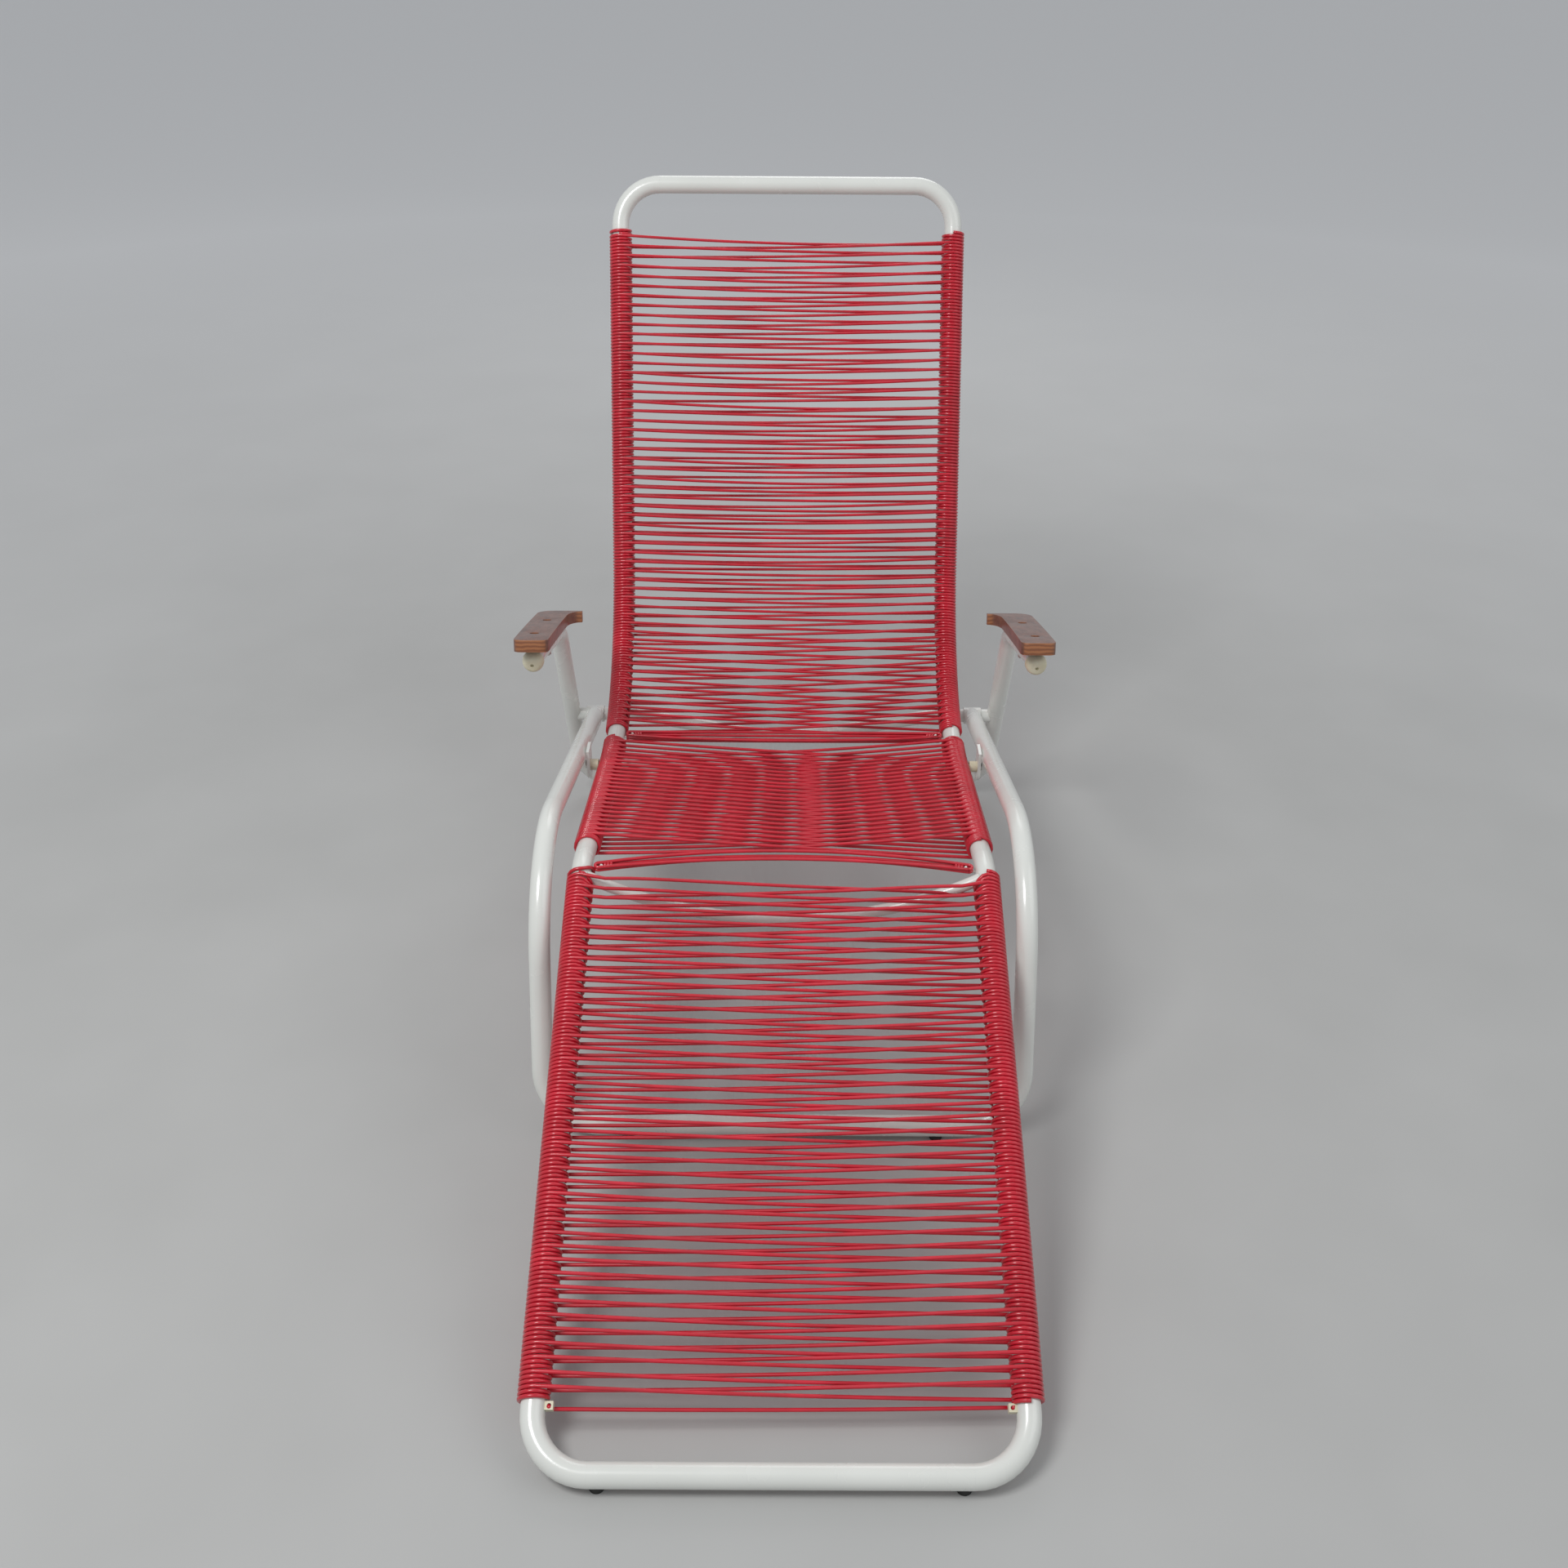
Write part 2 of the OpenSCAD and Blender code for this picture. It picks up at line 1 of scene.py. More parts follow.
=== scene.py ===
"""Looks of the folding deck chair: the cord winding, the materials, the stage and the camera.

Everything is in metres in the frame of the CAD model: foot end to -Y, head end to +Y, floor at Z = 0.
"""

import math
import random

import bpy
import numpy as np
from mathutils import Matrix, Vector
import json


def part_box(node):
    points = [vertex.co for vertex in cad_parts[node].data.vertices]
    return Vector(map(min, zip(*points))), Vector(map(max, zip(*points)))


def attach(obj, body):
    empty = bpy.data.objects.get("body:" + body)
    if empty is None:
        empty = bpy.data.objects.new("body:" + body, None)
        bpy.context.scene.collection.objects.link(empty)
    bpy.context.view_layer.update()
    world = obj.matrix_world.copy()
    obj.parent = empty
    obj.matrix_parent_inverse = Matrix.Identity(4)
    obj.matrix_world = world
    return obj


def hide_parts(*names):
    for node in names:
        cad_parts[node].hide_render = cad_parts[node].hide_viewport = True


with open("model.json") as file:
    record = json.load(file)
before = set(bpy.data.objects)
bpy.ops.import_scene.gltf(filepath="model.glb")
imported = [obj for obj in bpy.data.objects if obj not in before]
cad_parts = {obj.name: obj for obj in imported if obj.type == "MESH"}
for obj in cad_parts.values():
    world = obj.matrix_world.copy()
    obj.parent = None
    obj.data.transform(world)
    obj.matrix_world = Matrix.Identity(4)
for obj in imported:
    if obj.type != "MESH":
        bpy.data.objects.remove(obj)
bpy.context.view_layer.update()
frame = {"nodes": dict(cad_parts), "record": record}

MM = 0.001
NODES = frame["nodes"]
SEED = 7

# ---- The rails' side profile ------------------------------------------------------------------

TUBE_R = 13.5 * MM
CORD_R = 2.4 * MM           # on the rails
TAUT_CORD_R = 2.3 * MM      # stretched across the frame
SEAT_CORD_R = 2.4 * MM      # across the seat, where it is less stretched
COIL_R = TUBE_R + CORD_R
COIL_PITCH = 5.04 * MM

LEG_LEN, SEAT_LEN, BACK_LEN = 740 * MM, 606 * MM, 843 * MM
LEG_RISE, SEAT_FALL, BACK_RISE = math.radians(23), math.radians(10.7), math.radians(66.2)
FRONT_BEND_R, REAR_BEND_R = 100 * MM, 300 * MM

FRAME_LOW, FRAME_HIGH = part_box("lounge_frame")
RAIL_X = FRAME_HIGH.x - TUBE_R
FOOT = Vector((FRAME_LOW.y + TUBE_R, FRAME_LOW.z + TUBE_R))


def heading(angle):
    return Vector((math.cos(angle), math.sin(angle)))


FRONT_SETBACK = FRONT_BEND_R * math.tan((LEG_RISE + SEAT_FALL) / 2)
REAR_SETBACK = REAR_BEND_R * math.tan((SEAT_FALL + BACK_RISE) / 2)
FRONT_ARC = FRONT_BEND_R * (LEG_RISE + SEAT_FALL)
REAR_ARC = REAR_BEND_R * (SEAT_FALL + BACK_RISE)

# Lengths along the rail, from the foot bar's centre, at which one stretch ends and the next starts
LEG_END = LEG_LEN - FRONT_SETBACK
SEAT_START = LEG_END + FRONT_ARC
SEAT_END = SEAT_START + SEAT_LEN - FRONT_SETBACK - REAR_SETBACK
BACK_START = SEAT_END + REAR_ARC
BACK_END = BACK_START + BACK_LEN - REAR_SETBACK

PIVOT_BOLT = SEAT_END
FRONT_MIDDLE = (LEG_END + SEAT_START) / 2

# Stretches without winding, and the seat winding's reach past the pivot bolt
FOOT_BARE, TOP_BARE = 73 * MM, 70 * MM
SEAT_WRAP_PAST_PIVOT, REAR_GAP = 72 * MM, 30 * MM
FRONT_GAP_SEAT, FRONT_GAP_LEG = 62 * MM, 10 * MM


def profile(s):
    """The rail's centre and travel direction, as (y, z) vectors, at length s from the foot bar."""
    point = FOOT + min(s, LEG_END) * heading(LEG_RISE)
    if s <= LEG_END:
        return point, heading(LEG_RISE)
    angle = LEG_RISE - (min(s, SEAT_START) - LEG_END) / FRONT_BEND_R
    point += FRONT_BEND_R * (heading(LEG_RISE - math.pi / 2) - heading(angle - math.pi / 2))
    if s <= SEAT_START:
        return point, heading(angle)
    point += (min(s, SEAT_END) - SEAT_START) * heading(-SEAT_FALL)
    if s <= SEAT_END:
        return point, heading(-SEAT_FALL)
    angle = (min(s, BACK_START) - SEAT_END) / REAR_BEND_R - SEAT_FALL
    point += REAR_BEND_R * (heading(math.pi / 2 - SEAT_FALL) - heading(math.pi / 2 + angle))
    if s <= BACK_START:
        return point, heading(angle)
    return point + (s - BACK_START) * heading(BACK_RISE), heading(BACK_RISE)


def rail_frame(s, side):
    """Centre, outward direction and upward normal of the rail on side -1 or 1 at length s."""
    point, travel = profile(s)
    centre = Vector((side * RAIL_X, point.x, point.y))
    return centre, Vector((side, 0, 0)), Vector((0, -travel.y, travel.x))


def along_rail(s):
    """The direction of both rails at length s, toward the head end."""
    _, travel = profile(s)
    return Vector((0, travel.x, travel.y))


# ---- Sweeping a round cord along a path ---------------------------------------------------------

SLANT = (0.31, 0.52, 0.79)      # a direction that no cord starts in


def add_object(name, vertices, faces, material, body):
    mesh = bpy.data.meshes.new(name)
    mesh.from_pydata(vertices, [], faces)
    mesh.polygons.foreach_set("use_smooth", [True] * len(mesh.polygons))
    mesh.materials.append(material)
    mesh.update()
    obj = bpy.data.objects.new(name, mesh)
    bpy.context.scene.collection.objects.link(obj)
    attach(obj, body)
    return obj


def swept(points, radii, sides=8):
    """Vertices and faces of a closed round cord along the points, with a radius for each point."""
    path = np.array(points, float)
    radii = np.array(radii, float)[:, None, None]
    count = len(path)
    travel = np.gradient(path, axis=0)
    travel /= np.linalg.norm(travel, axis=1)[:, None]
    across = np.zeros_like(path)
    start = np.cross(travel[0], SLANT)
    across[0] = start / np.linalg.norm(start)
    for i in range(1, count):
        carried = across[i - 1] - travel[i] * np.dot(across[i - 1], travel[i])
        across[i] = carried / np.linalg.norm(carried)
    above = np.cross(travel, across)
    angles = 2 * np.pi * np.arange(sides) / sides
    rings = (path[:, None, :]
             + radii * (np.cos(angles)[None, :, None] * across[:, None, :]
                        + np.sin(angles)[None, :, None] * above[:, None, :]))
    faces = []
    for i in range(count - 1):
        a, b = i * sides, (i + 1) * sides
        for k in range(sides):
            m = (k + 1) % sides
            faces.append((a + k, a + m, b + m, b + k))
    faces.append(tuple(reversed(range(sides))))
    faces.append(tuple(range((count - 1) * sides, count * sides)))
    return rings.reshape(-1, 3).tolist(), faces


# ---- The winding --------------------------------------------------------------------------------

SWEEP_STEPS = 16            # path points in one turn round the rail
CROSSING_STEPS = 16
COILS = 3                   # turns at each visit to a rail, of which the crossing replaces half a turn
SAG = 5 * MM                # of a crossing cord at its middle
SLIP = 2 * MM               # how far along the rails its middle may stray
WOBBLE = 0.15 * MM          # unevenness of the turns
CORD_GAP = 0.1 * MM         # between cords that pass each other
RELEASE = math.asin(COIL_R / RAIL_X)    # how far past the top a crossing cord leaves the rail
LOW_ANGLE = -math.pi / 2 - RELEASE      # where a crossing cord meets the rail, underneath

BOW_BAR_R = 8 * MM
BOW_BAR = FRONT_MIDDLE - 2 * BOW_BAR_R
SPREAD_REACH = 40 * MM      # the bar's push on the cords fades over this distance


def pushed(s, nearness):
    """Moves a cord at length s away from the bow bar, most where nearness is 1."""
    offset = s - BOW_BAR
    shift = (BOW_BAR_R + CORD_R) * nearness * math.exp(-abs(offset) / SPREAD_REACH)
    return s + math.copysign(shift, offset)


def coil_point(s, side, angle):
    """A point of the winding on the rail: angle 0 is outward and 90 degrees is up."""
    nearness = max(0.0, -math.cos(angle)) ** 2
    centre, outward, up = rail_frame(pushed(s, nearness), side)
    return centre + COIL_R * (math.cos(angle) * outward + math.sin(angle) * up)


def crossing_point(s, side, share, height, droop):
    """A point of a cord that crosses from the rail on the given side to the other one."""
    from_rail = min(share, 1 - share) * 2 * RAIL_X
    centre, outward, up = rail_frame(pushed(s, math.exp(-from_rail / SPREAD_REACH)), side)
    reach = (RAIL_X - COIL_R * math.sin(RELEASE)) * (1 - 2 * share)
    return Vector((0, centre.y, centre.z - droop)) + outward * reach + up * height


class Winding:
    """One cord wound from start to end along both rails.

    On each rail the cord comes in underneath, makes COILS - 1/2 turns and leaves over the top, so
    that the next crossing goes from this rail's top to the other rail's underside. Scatter is how
    uneven the crossing cords are, and taut_r is their radius.
    """

    def __init__(self, start, end, scatter, taut_r, rng):
        self.start = start
        self.scatter, self.taut_r, self.rng = scatter, taut_r, rng
        self.visits = round(2 * (end - start) / (COILS * COIL_PITCH)) - 1
        self.period = 2 * (end - start) / (self.visits + 1)
        self.turns, self.pitch = COILS - 0.5, self.period / COILS
        self.points, self.radii = [], []

    def side(self, visit):
        return -1 if visit % 2 == 0 else 1

    def put(self, point, radius):
        self.points.append(point)
        self.radii.append(radius)

    def coil(self, first, side, turns, low_angle, sweep):
        steps = max(2, int(round(turns * SWEEP_STEPS)))
        wobble = self.rng.uniform(-WOBBLE, WOBBLE)
        for step in range(steps + 1):
            share = step / steps
            along = first + share * turns * self.pitch + wobble * math.sin(math.pi * share)
            self.put(coil_point(self.start + along, side, low_angle + share * sweep), CORD_R)

    def cross(self, leave, arrive, side):
        lift = -side * (self.taut_r + CORD_GAP)
        droop = SAG * (1 + self.scatter * self.rng.uniform(-1, 1))
        slip = self.scatter * self.rng.uniform(-SLIP, SLIP)
        for step in range(1, CROSSING_STEPS):
            share = step / CROSSING_STEPS
            bow = 4 * share * (1 - share)
            s = self.start + leave + (arrive - leave) * share + slip * bow
            height = COIL_R * math.cos(RELEASE) * (1 - 2 * share) + lift * bow
            self.put(crossing_point(s, side, share, height, droop * bow), self.taut_r)

    def wind(self):
        for visit in range(self.visits):
            side = self.side(visit)
            first = visit * self.period / 2
            sweep = self.turns * 2 * math.pi + 2 * RELEASE
            self.coil(first, side, self.turns, LOW_ANGLE, sweep)
            if visit < self.visits - 1:
                self.cross(first + self.turns * self.pitch, first + self.period / 2, side)
        return self.points, self.radii

    def plain_turns(self, visit):
        """Turns without a crossing, on the rail and stretch that the given visit would take."""
        self.points, self.radii = [], []
        turns = self.period / 2 / self.pitch
        first = max(0, visit) * self.period / 2
        sweep = turns * 2 * math.pi
        self.coil(first, self.side(visit), turns, LOW_ANGLE - sweep, sweep)
        return self.points, self.radii


# ---- Cords across the two bare gaps, and their knots --------------------------------------------

HOOK_X = RAIL_X - TUBE_R - 9 * MM       # the upright of a hook
HOOK_R = 2 * MM
HOOK_STEPS = 8
LOOP_R = HOOK_R + TAUT_CORD_R + CORD_GAP
LOOP_PITCH = 2 * TAUT_CORD_R + CORD_GAP     # from one loop up to the next on the same hooks
LOOP_HEIGHT = 3 * MM                        # of the last loop but one, over the rails' centres
LOOP_DROOP = (1 * MM, 5 * MM)


def hook_loop(s, height, spread, shift, rng):
    """A cord that runs round the hooks on both sides at length s and back.

    At the middle its two strands are spread apart and shifted along the rails.
    """
    points = []
    centre, _, up = rail_frame(s, 1)
    along = along_rail(s)
    middle = Vector((0, centre.y, centre.z)) + up * height
    for side in (1, -1):
        for step in range(HOOK_STEPS + 1):
            angle = math.pi * (step / HOOK_STEPS - 0.5)
            points.append(middle + Vector((side * (HOOK_X + LOOP_R * math.cos(angle)), 0, 0))
                          + along * side * LOOP_R * math.sin(angle))
        droop = rng.uniform(*LOOP_DROOP)
        for step in range(1, CROSSING_STEPS):
            share = step / CROSSING_STEPS
            arch = 4 * share * (1 - share)
            points.append(middle + Vector((side * HOOK_X * (1 - 2 * share), 0, -droop * arch))
                          + along * (side * (LOOP_R + spread * arch) + shift * arch))
    points.append(points[0])
    return points


KNOT_TURNS = 3
KNOT_R = 3.4 * MM
KNOT_START, KNOT_LEN = 7 * MM, 12 * MM      # from the hook toward the middle
LOOSE_STEPS = 5


def knot(s, side, height):
    """Tight turns beside a hook, with a short loose end that bends down and away."""
    centre, outward, up = rail_frame(s, side)
    along = along_rail(s)
    middle = Vector((side * HOOK_X, centre.y, centre.z)) + up * height + along * LOOP_R
    points = []
    steps = KNOT_TURNS * SWEEP_STEPS
    for step in range(steps + 1):
        share = step / steps
        angle = KNOT_TURNS * 2 * math.pi * share
        points.append(middle - outward * (KNOT_START + KNOT_LEN * share)
                      + KNOT_R * (math.cos(angle) * along + math.sin(angle) * up))
    for step in range(1, LOOSE_STEPS + 1):
        bend = 0.8 * step / LOOSE_STEPS
        points.append(points[-1] + (along * 1.2 - up * 1.6 - outward * bend) * MM)
    return points


CLIP_REACH = 4 * MM         # from the rail's inner face to the clip's hole
CLIP_DROP = 6 * MM          # from the winding's start back to the clip's hole
TAIL_STEPS = 8
TAIL_DEPTH = 5 * MM         # the tail's end under the hole's middle, and its arch over it
TAIL_TUCK = 3 * MM          # how far the tail runs back toward the rail
FIRST_STRING_SAG = 3 * MM
# The first string's way down through the hole: millimetres inward and up from the hole's middle
HOLE_PATH = ((0, 5), (0, 2), (0, -1), (0, -4), (1.5, -6.8), (5, -8))


def clip_hole(side):
    """The middle of a clip's hole, with the outward direction and upward normal there."""
    centre, outward, up = rail_frame(FOOT_BARE - CLIP_DROP, side)
    return centre - outward * (TUBE_R + CLIP_REACH), outward, up


def clip_tail(side):
    """The cord's end, from the clip's hole up and round to the first turn."""
    points = []
    hole, outward, up = clip_hole(side)
    along = along_rail(FOOT_BARE)
    for step in range(TAIL_STEPS + 1):
        share = step / TAIL_STEPS
        rise = TAIL_DEPTH * (math.sin(math.pi * share) - (1 - share))
        points.append(hole + up * rise + (along * CLIP_DROP + outward * TAIL_TUCK) * share ** 2)
    return points


def first_string(side):
    """The cord's other end, down through the clip's hole and across to the far rail's underside."""
    hole, outward, up = clip_hole(side)
    points = [hole + (up * rise - outward * inward) * MM for inward, rise in HOLE_PATH]
    leaving = points[-1]
    landing = coil_point(FOOT_BARE, -side, LOW_ANGLE)
    for step in range(1, CROSSING_STEPS + 1):
        share = step / CROSSING_STEPS
        arch = 4 * share * (1 - share)
        points.append(leaving.lerp(landing, share) - Vector((0, 0, FIRST_STRING_SAG * arch)))
    return points


# ---- Materials ----------------------------------------------------------------------------------

class Look:
    """A small helper that builds a Principled material node by node."""

    def __init__(self, name):
        self.material = bpy.data.materials.new(name)
        self.material.use_nodes = True
        self.tree = self.material.node_tree
        self.shader = self.tree.nodes["Principled BSDF"]
        self.coords = self.tree.nodes.new("ShaderNodeTexCoord").outputs["Object"]

    def link(self, source, target):
        self.tree.links.new(source, target)

    def value(self, name, amount):
        self.shader.inputs[name].default_value = amount

    def noise(self, scale, detail=2.0, roughness=0.5, stretch=None, coords=None):
        node = self.tree.nodes.new("ShaderNodeTexNoise")
        node.inputs["Scale"].default_value = scale
        node.inputs["Detail"].default_value = detail
        node.inputs["Roughness"].default_value = roughness
        self.link(self.stretched(stretch, coords), node.inputs["Vector"])
        return node.outputs["Fac"]

    def stretched(self, stretch=None, coords=None, rotation=(0, 0, 0)):
        source = coords or self.coords
        if stretch is None and rotation == (0, 0, 0):
            return source
        node = self.tree.nodes.new("ShaderNodeMapping")
        node.inputs["Scale"].default_value = stretch or (1, 1, 1)
        node.inputs["Rotation"].default_value = rotation
        self.link(source, node.inputs["Vector"])
        return node.outputs["Vector"]

    def ramp(self, source, stops):
        """stops is a list of (position, colour or grey value)."""
        node = self.tree.nodes.new("ShaderNodeValToRGB")
        ramp = node.color_ramp
        while len(ramp.elements) < len(stops):
            ramp.elements.new(0.5)
        for element, (position, colour) in zip(ramp.elements, stops):
            element.position = position
            grey = isinstance(colour, (int, float))
            element.color = (colour, colour, colour, 1) if grey else (*colour, 1)
        self.link(source, node.inputs["Fac"])
        return node.outputs["Color"]

    def mix(self, share, a, b):
        node = self.tree.nodes.new("ShaderNodeMix")
        node.data_type = "RGBA"
        self.put(share, node.inputs["Factor"])
        self.put(a, node.inputs["A"])
        self.put(b, node.inputs["B"])
        return node.outputs["Result"]

    def put(self, source, target):
        if isinstance(source, tuple):
            target.default_value = (*source, 1)
        elif isinstance(source, (int, float)):
            target.default_value = source
        else:
            self.link(source, target)

    def math(self, operation, a, b=0.0):
        node = self.tree.nodes.new("ShaderNodeMath")
        node.operation = operation
        self.put(a, node.inputs[0])
        self.put(b, node.inputs[1])
        return node.outputs[0]

    def arrises(self, width):
        """1 within about the given width of an arris and 0 on flat faces."""
        rounded = self.tree.nodes.new("ShaderNodeBevel")
        rounded.inputs["Radius"].default_value = width
        geometry = self.tree.nodes.new("ShaderNodeNewGeometry")
        compare = self.tree.nodes.new("ShaderNodeVectorMath")
        compare.operation = "DOT_PRODUCT"
        self.link(rounded.outputs["Normal"], compare.inputs[0])
        self.link(geometry.outputs["Normal"], compare.inputs[1])
        return self.ramp(compare.outputs["Value"], [(0.82, 1.0), (0.98, 0.0)])

    def colour(self, source):
        self.link(source, self.shader.inputs["Base Color"])

    def roughness(self, source, low, high):
        node = self.tree.nodes.new("ShaderNodeMapRange")
        node.inputs["To Min"].default_value = low
        node.inputs["To Max"].default_value = high
        self.link(source, node.inputs["Value"])
        self.link(node.outputs["Result"], self.shader.inputs["Roughness"])

    def bump(self, source, strength, distance):
        node = self.tree.nodes.new("ShaderNodeBump")
        node.inputs["Strength"].default_value = strength
        node.inputs["Distance"].default_value = distance
        self.link(source, node.inputs["Height"])
        self.link(node.outputs["Normal"], self.shader.inputs["Normal"])


def white_enamel():
    look = Look("white_enamel")
    mottle = look.noise(9, 4)
    base = look.ramp(mottle, [(0.3, (0.69, 0.70, 0.66)), (0.7, (0.73, 0.74, 0.70))])
    grime = look.ramp(look.noise(60, 6, 0.65), [(0.66, 0.0), (0.80, 0.14)])
    dirty = look.mix(grime, base, (0.55, 0.52, 0.44))
    chips = look.ramp(look.noise(210, 3, 0.6), [(0.76, 0.0), (0.78, 1.0)])
    look.colour(look.mix(chips, dirty, (0.20, 0.14, 0.10)))
    look.roughness(look.noise(35, 4), 0.16, 0.34)
    look.bump(look.noise(140, 3), 0.06, 0.6 * MM)
    look.value("Coat Weight", 0.5)
    look.value("Coat Roughness", 0.12)
    return look.material


def red_cord():
    look = Look("red_cord")
    base = look.ramp(look.noise(22, 3), [(0.30, (0.46, 0.004, 0.017)), (0.55, (0.55, 0.005, 0.022)),
                                         (0.75, (0.64, 0.008, 0.030))])
    dust = look.ramp(look.noise(70, 5, 0.7), [(0.62, 0.0), (0.80, 0.10)])
    look.colour(look.mix(dust, base, (0.52, 0.16, 0.16)))
    look.roughness(look.noise(60, 4), 0.24, 0.40)
    look.bump(look.noise(500, 2), 0.05, 0.1 * MM)
    look.value("Coat Weight", 0.6)
    look.value("Coat Roughness", 0.10)
    return look.material


ARM_RISE = math.radians(18)


def varnished_wood():
    look = Look("varnished_wood")
    grain_space = look.stretched((60, 4, 60), rotation=(ARM_RISE, 0, 0))
    streaks = look.noise(1.6, 8, 0.65, coords=grain_space)
    fine = look.noise(9, 6, 0.7, coords=grain_space)
    side = look.ramp(streaks, [(0.30, (0.085, 0.030, 0.018)), (0.5, (0.17, 0.066, 0.040)),
                               (0.70, (0.24, 0.10, 0.062))])
    pores = look.ramp(fine, [(0.35, 0.55), (0.55, 0.0)])
    side = look.mix(pores, side, (0.06, 0.022, 0.013))
    rings = look.tree.nodes.new("ShaderNodeTexWave")
    rings.wave_type = "RINGS"
    rings.inputs["Scale"].default_value = 55
    rings.inputs["Distortion"].default_value = 3.0
    rings.inputs["Detail"].default_value = 3.0
    look.link(look.coords, rings.inputs["Vector"])
    end = look.ramp(rings.outputs["Fac"], [(0.2, (0.20, 0.065, 0.022)), (0.8, (0.33, 0.125, 0.045))])
    geometry = look.tree.nodes.new("ShaderNodeNewGeometry")
    split = look.tree.nodes.new("ShaderNodeVectorMath")
    split.operation = "DOT_PRODUCT"
    split.inputs[1].default_value = (0, -math.cos(ARM_RISE), math.sin(ARM_RISE))
    look.link(geometry.outputs["Normal"], split.inputs[0])
    facing = look.math("ABSOLUTE", split.outputs["Value"])
    share = look.ramp(facing, [(0.55, 0.0), (0.80, 1.0)])
    wear = look.math("MULTIPLY", look.arrises(2.5 * MM), look.ramp(fine, [(0.35, 0.15), (0.6, 0.65)]))
    look.colour(look.mix(wear, look.mix(share, side, end), (0.36, 0.17, 0.085)))
    look.roughness(look.noise(40, 3), 0.30, 0.50)
    look.bump(fine, 0.18, 0.25 * MM)
    look.value("Coat Weight", 0.45)
    look.value("Coat Roughness", 0.25)
    return look.material


def moulded(name, low, high, rough_low, rough_high, grain):
    """Plastic or rubber with a fine moulded grain and a slow shift of colour."""
    look = Look(name)
    look.colour(look.ramp(look.noise(45, 4), [(0.3, low), (0.7, high)]))
    look.roughness(look.noise(120, 4), rough_low, rough_high)
    look.bump(look.noise(grain, 3), 0.15, 0.2 * MM)
    return look.material


def zinc_plate():
    look = Look("zinc_plate")
    look.value("Metallic", 1.0)
    look.colour(look.ramp(look.noise(300, 4), [(0.35, (0.40, 0.38, 0.34)), (0.65, (0.62, 0.61, 0.58))]))
    look.roughness(look.noise(500, 3), 0.28, 0.55)
    look.bump(look.noise(1200, 2), 0.12, 0.1 * MM)
    return look.material


# One material for each material slot of the CAD
LOOKS = {
    "white_enamel": white_enamel(),
    "red_cord": red_cord(),
    "varnished_wood": varnished_wood(),
    "cream_plastic": moulded("cream_plastic", (0.60, 0.55, 0.38), (0.72, 0.68, 0.52), 0.30, 0.50, 700),
    "black_rubber": moulded("black_rubber", (0.012, 0.012, 0.012), (0.03, 0.03, 0.028), 0.55, 0.8, 900),
    "zinc_plate": zinc_plate(),
}

SEAM = 0.03 * MM            # mesh points closer than this are one point
CREASE = math.radians(38)   # edges sharper than this stay crisp
ARRIS = 1.4 * MM            # the rounding of the wooden edges


def smoothed(node, arris):
    """Closes the CAD mesh's seams, rounds its arrises if asked to, and keeps its creases crisp."""
    weld = node.modifiers.new("seams", "WELD")
    weld.merge_threshold = SEAM
    if arris:
        bevel = node.modifiers.new("arrises", "BEVEL")
        bevel.width = arris
        bevel.segments = 3
        bevel.limit_method = "ANGLE"
        bevel.angle_limit = CREASE
    split = node.modifiers.new("creases", "EDGE_SPLIT")
    split.split_angle = CREASE
    node.data.polygons.foreach_set("use_smooth", [True] * len(node.data.polygons))


for part in frame["record"]["subparts"]:
    node = NODES[part["node"]]
    node.data.materials.clear()
    node.data.materials.append(LOOKS[part["material_slot"]])
    smoothed(node, ARRIS if part["material_slot"] == "varnished_wood" else 0)

# ---- Cords --------------------------------------------------------------------------------------

SEAT_WRAP_START = SEAT_START + FRONT_GAP_SEAT - FRONT_SETBACK
SEAT_WRAP_END = PIVOT_BOLT + SEAT_WRAP_PAST_PIVOT

# Start, end, scatter and crossing cords' radius of each wound stretch
SECTIONS = {
    "leg": (FOOT_BARE, FRONT_MIDDLE - FRONT_GAP_LEG, 0.4, TAUT_CORD_R),
    "seat": (SEAT_WRAP_START, SEAT_WRAP_END, 0.08, SEAT_CORD_R),
    "back": (SEAT_WRAP_END + REAR_GAP, BACK_END - TOP_BARE, 0.4, TAUT_CORD_R),
}


def add_cord(name, points, radii, strings):
    """Adds a cord that stands, with others, for the CAD node called strings."""
    vertices, faces = swept(points, radii)
    cord = add_object(name, vertices, faces, LOOKS["red_cord"], "lounge")
    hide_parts(strings)


for name, (start, end, scatter, taut_r) in SECTIONS.items():
    winding = Winding(start, end, scatter, taut_r, random.Random(SEED + COILS * len(name)))
    add_cord(name + "_cord", *winding.wind(), name + "_strings")
    add_cord(name + "_first_turns", *winding.plain_turns(-1), name + "_strings")
    add_cord(name + "_last_turns", *winding.plain_turns(winding.visits), name + "_strings")

for name, points in (("first_string", first_string(-1)), ("clip_tail", clip_tail(1))):
    add_cord(name, points, [TAUT_CORD_R] * len(points), "leg_strings")

# Place, number of loops, shift of their middle toward the head end, and the strings they belong to
LOOPS = {
    "front": (FRONT_MIDDLE, 2, 26 * MM, "leg_strings"),
    "rear": (SEAT_WRAP_END + REAR_GAP / 2, 3, 0.0, "seat_strings"),
}
FIRST_SPREAD, SPREAD_STEP = -2 * MM, 4 * MM

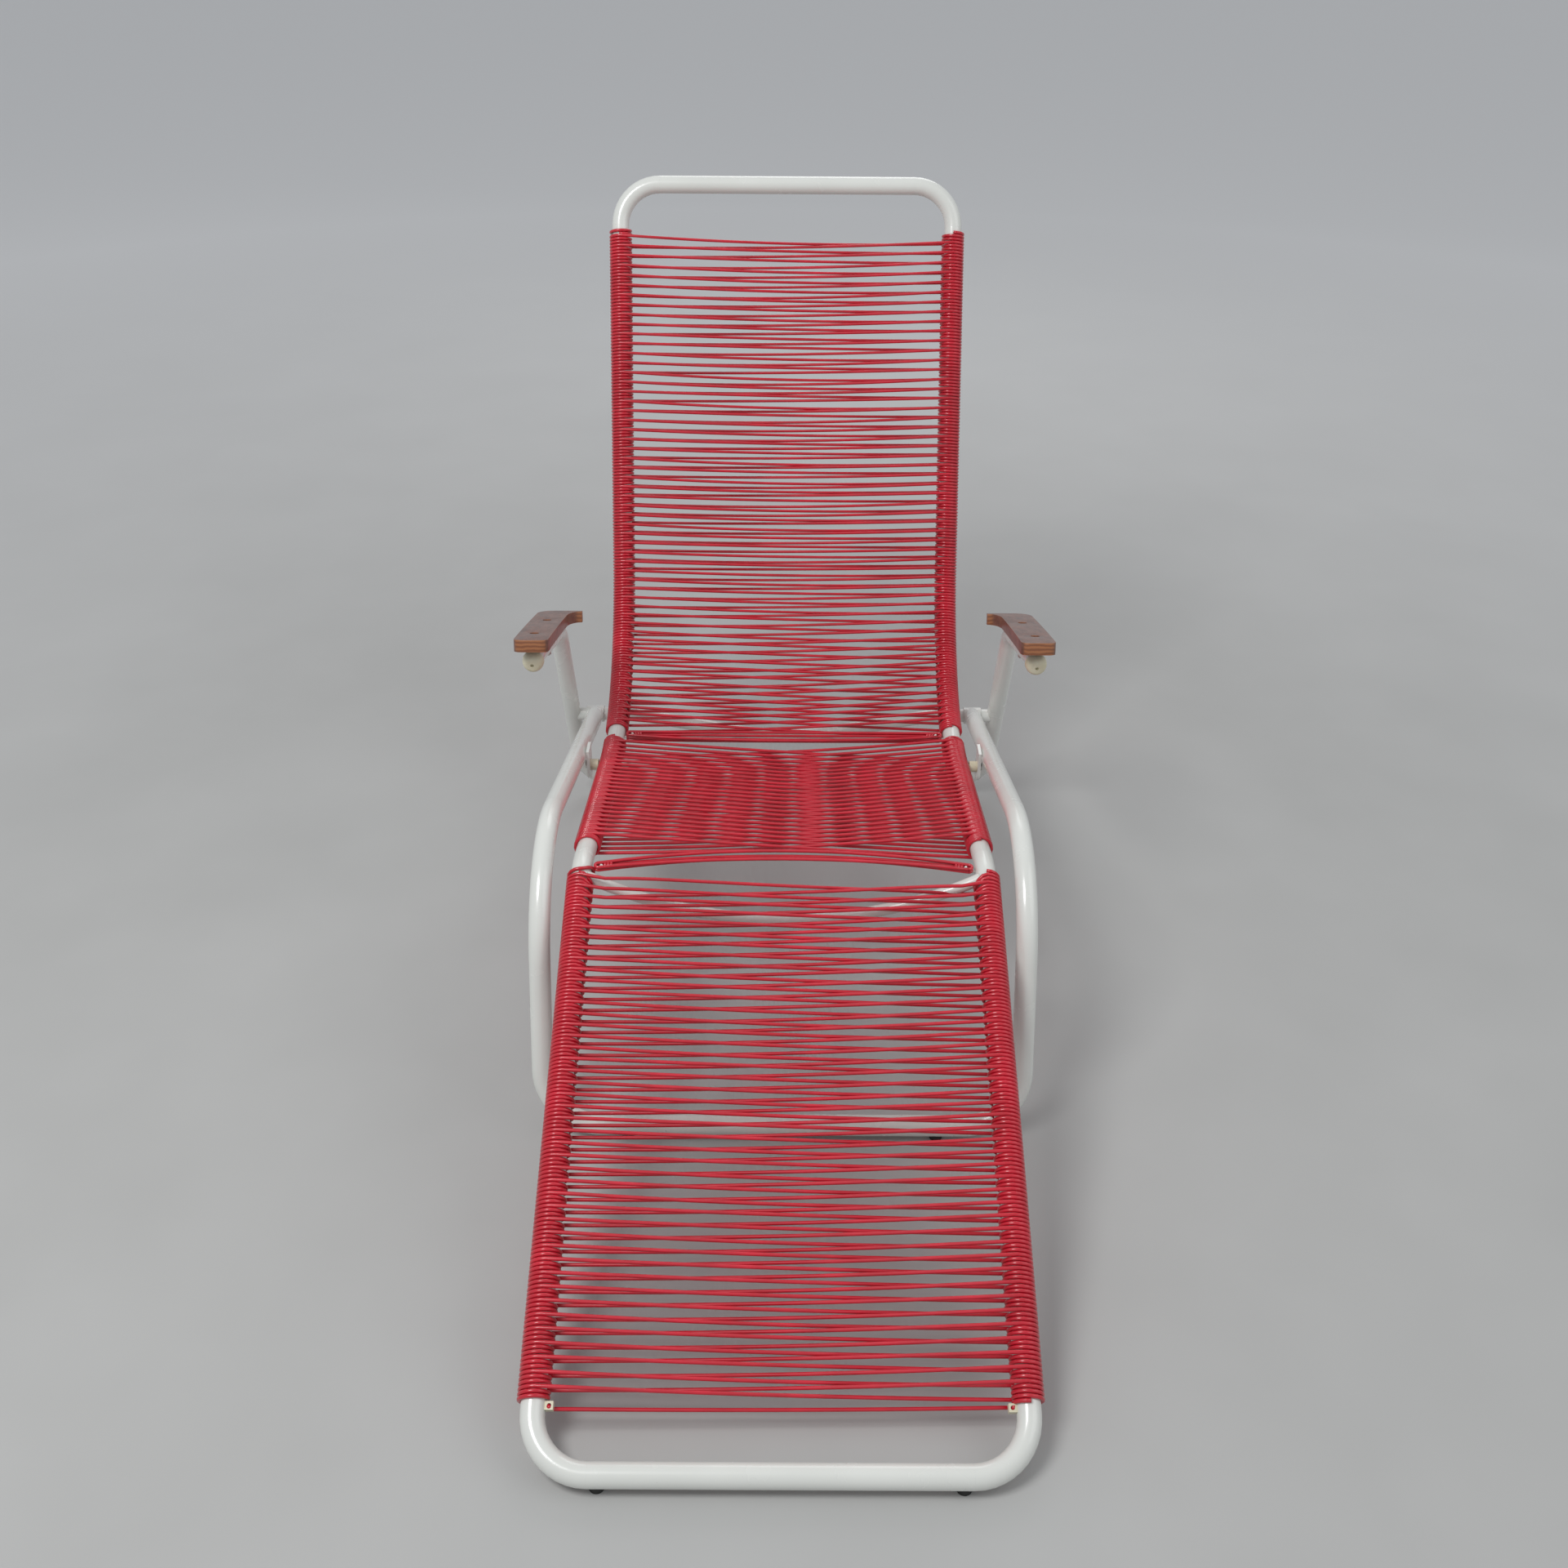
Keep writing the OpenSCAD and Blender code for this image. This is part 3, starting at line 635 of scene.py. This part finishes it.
for name, (s, count, shift, strings) in LOOPS.items():
    rng = random.Random(SEED + count)
    for i in range(count):
        height = LOOP_HEIGHT + LOOP_PITCH * (i + 2 - count)
        loop = hook_loop(s, height, FIRST_SPREAD + SPREAD_STEP * i, shift, rng)
        add_cord(f"{name}_loop_{i + 1}", loop, [TAUT_CORD_R] * len(loop), strings)
    for side, label in ((-1, "left"), (1, "right")):
        tied = knot(s, side, LOOP_HEIGHT)
        add_cord(f"{name}_knot_{label}", tied, [TAUT_CORD_R] * len(tied), strings)

# ---- Stage, light and camera --------------------------------------------------------------------

STAGE_SIZE = 90.0           # large enough to reach the horizon in every view
FADE_LENGTH = 5.0           # the floor is painted paler up to here: painted light where the lamps no longer reach
FAR_FLOOR = 0.80


def plain_stage():
    look = Look("stage_floor")
    near = look.ramp(look.noise(3, 3), [(0.3, (0.42, 0.42, 0.41)), (0.7, (0.45, 0.45, 0.44))])
    distance = look.tree.nodes.new("ShaderNodeVectorMath")
    distance.operation = "LENGTH"
    look.link(look.coords, distance.inputs[0])
    # Painted light: the floor's colour grows paler with distance from the middle, making up for the
    # lamps' light falling off far away
    painted_far_light = look.ramp(look.math("MULTIPLY", distance.outputs["Value"], 1 / FADE_LENGTH),
                     [(0.25, 0.0), (1.0, 1.0)])
    look.colour(look.mix(painted_far_light, near, (FAR_FLOOR, FAR_FLOOR, FAR_FLOOR)))
    look.value("Roughness", 0.8)
    mesh = bpy.data.meshes.new("floor")
    half = STAGE_SIZE / 2
    corners = [(-half, -half, 0), (half, -half, 0), (half, half, 0), (-half, half, 0)]
    mesh.from_pydata(corners, [], [(0, 1, 2, 3)])
    mesh.materials.append(look.material)
    floor = bpy.data.objects.new("floor", mesh)
    bpy.context.scene.collection.objects.link(floor)


def soft_light(name, location, target, size, power):
    """A round area lamp, in metres and watts."""
    data = bpy.data.lights.new(name, "AREA")
    data.shape = "DISK"
    data.size = size
    data.energy = power
    light = bpy.data.objects.new(name, data)
    light.location = location
    aim = Vector(target) - Vector(location)
    light.rotation_euler = aim.to_track_quat("-Z", "Y").to_euler()
    bpy.context.scene.collection.objects.link(light)


plain_stage()
soft_light("key", (-1.4, -1.4, 3.2), target=(0, 0, 0.3), size=1.3, power=60)
soft_light("fill", (2.4, -0.8, 2.4), target=(0, 0.2, 0.4), size=2.4, power=14)
soft_light("back", (0.4, 3.0, 2.6), target=(0, 0.4, 0.5), size=2.0, power=16)

SKY_COLOUR = (0.93, 0.96, 1.0, 1)
SKY_STRENGTH = 0.50


def studio_world():
    """An even sky, seen by the camera as bright as the far floor so that no horizon shows."""
    world = bpy.data.worlds.new("studio")
    world.use_nodes = True
    tree = world.node_tree
    sky = tree.nodes["Background"]
    seen = tree.nodes.new("ShaderNodeBackground")
    for shader, strength in ((sky, SKY_STRENGTH), (seen, SKY_STRENGTH * FAR_FLOOR)):
        shader.inputs["Color"].default_value = SKY_COLOUR
        shader.inputs["Strength"].default_value = strength
    choice = tree.nodes.new("ShaderNodeMixShader")
    rays = tree.nodes.new("ShaderNodeLightPath")
    tree.links.new(rays.outputs["Is Camera Ray"], choice.inputs["Fac"])
    tree.links.new(sky.outputs["Background"], choice.inputs[1])
    tree.links.new(seen.outputs["Background"], choice.inputs[2])
    tree.links.new(choice.outputs["Shader"], tree.nodes["World Output"].inputs["Surface"])
    bpy.context.scene.world = world


studio_world()

# The camera stands in front of the foot end, at chest height, and looks down the chair
CAMERA_PLACE = (-0.0031, -1.7773, 1.5062)
CAMERA_PITCH = math.radians(32.85)
CAMERA_YAW = math.radians(-0.1)
CAMERA_ROLL = math.radians(0.39)
SENSOR_WIDTH = 36.0                     # in millimetres
LENS_OVER_WIDTH = 0.98958               # focal length over the picture's width

camera_data = bpy.data.cameras.new("camera")
camera_data.sensor_width = SENSOR_WIDTH
camera_data.lens = SENSOR_WIDTH * LENS_OVER_WIDTH
camera = bpy.data.objects.new("camera", camera_data)
camera.location = CAMERA_PLACE
aim = Matrix.Rotation(CAMERA_YAW, 4, "Z") @ Matrix.Rotation(math.pi / 2 - CAMERA_PITCH, 4, "X")
camera.rotation_euler = (aim @ Matrix.Rotation(CAMERA_ROLL, 4, "Z")).to_euler()
bpy.context.scene.collection.objects.link(camera)
bpy.context.scene.camera = camera

bpy.context.scene.view_settings.view_transform = "Standard"
